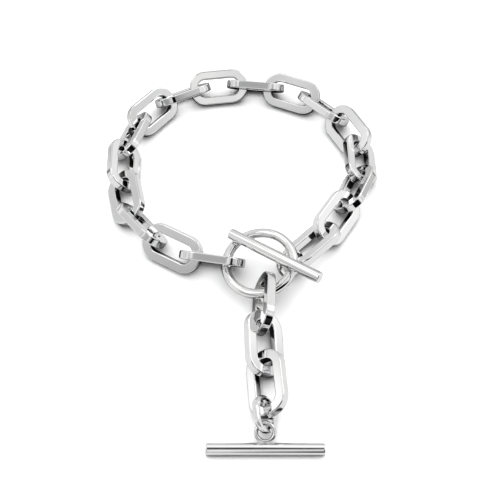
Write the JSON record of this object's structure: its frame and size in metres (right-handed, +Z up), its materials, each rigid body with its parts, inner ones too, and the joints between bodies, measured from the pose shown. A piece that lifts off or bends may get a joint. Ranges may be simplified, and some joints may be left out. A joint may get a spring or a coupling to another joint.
{
  "type": "bracelet",
  "caption": "Link bracelet of rounded-oval square-wire links, lying closed with a ring and toggle-bar clasp, and a short drop of links ending in a second bar.",
  "frame": {"origin": "middle of the wrist hollow, on the surface that the bracelet lies on", "axes": "+Z up from the surface; -Y towards the clasp, the drop and the end bar; +X towards the side where the toggle bar's chain end lies"},
  "size_m": [0.0704, 0.1129, 0.0116],
  "materials": {
    "link_metal": "mirror-polished silver",
    "clasp_metal": "mirror-polished silver",
    "oval_metal": "mirror-polished silver"
  },
  "bodies": {
    "root": {"link_01": "link_metal", "link_02": "link_metal", "link_03": "link_metal", "link_04": "link_metal", "link_05": "link_metal", "link_06": "link_metal", "link_07": "link_metal", "link_08": "link_metal", "link_09": "link_metal", "link_10": "link_metal", "link_11": "link_metal", "link_12": "link_metal", "link_13": "link_metal", "link_14": "link_metal", "link_15": "link_metal", "link_16": "link_metal", "link_17": "link_metal", "drop_link_1": "link_metal", "drop_link_2": "link_metal", "drop_link_3": "link_metal", "clasp_ring": "clasp_metal", "toggle_oval": "oval_metal", "toggle_bar": "clasp_metal", "drop_oval": "oval_metal", "end_bar": "clasp_metal"}
  },
  "joints": []
}
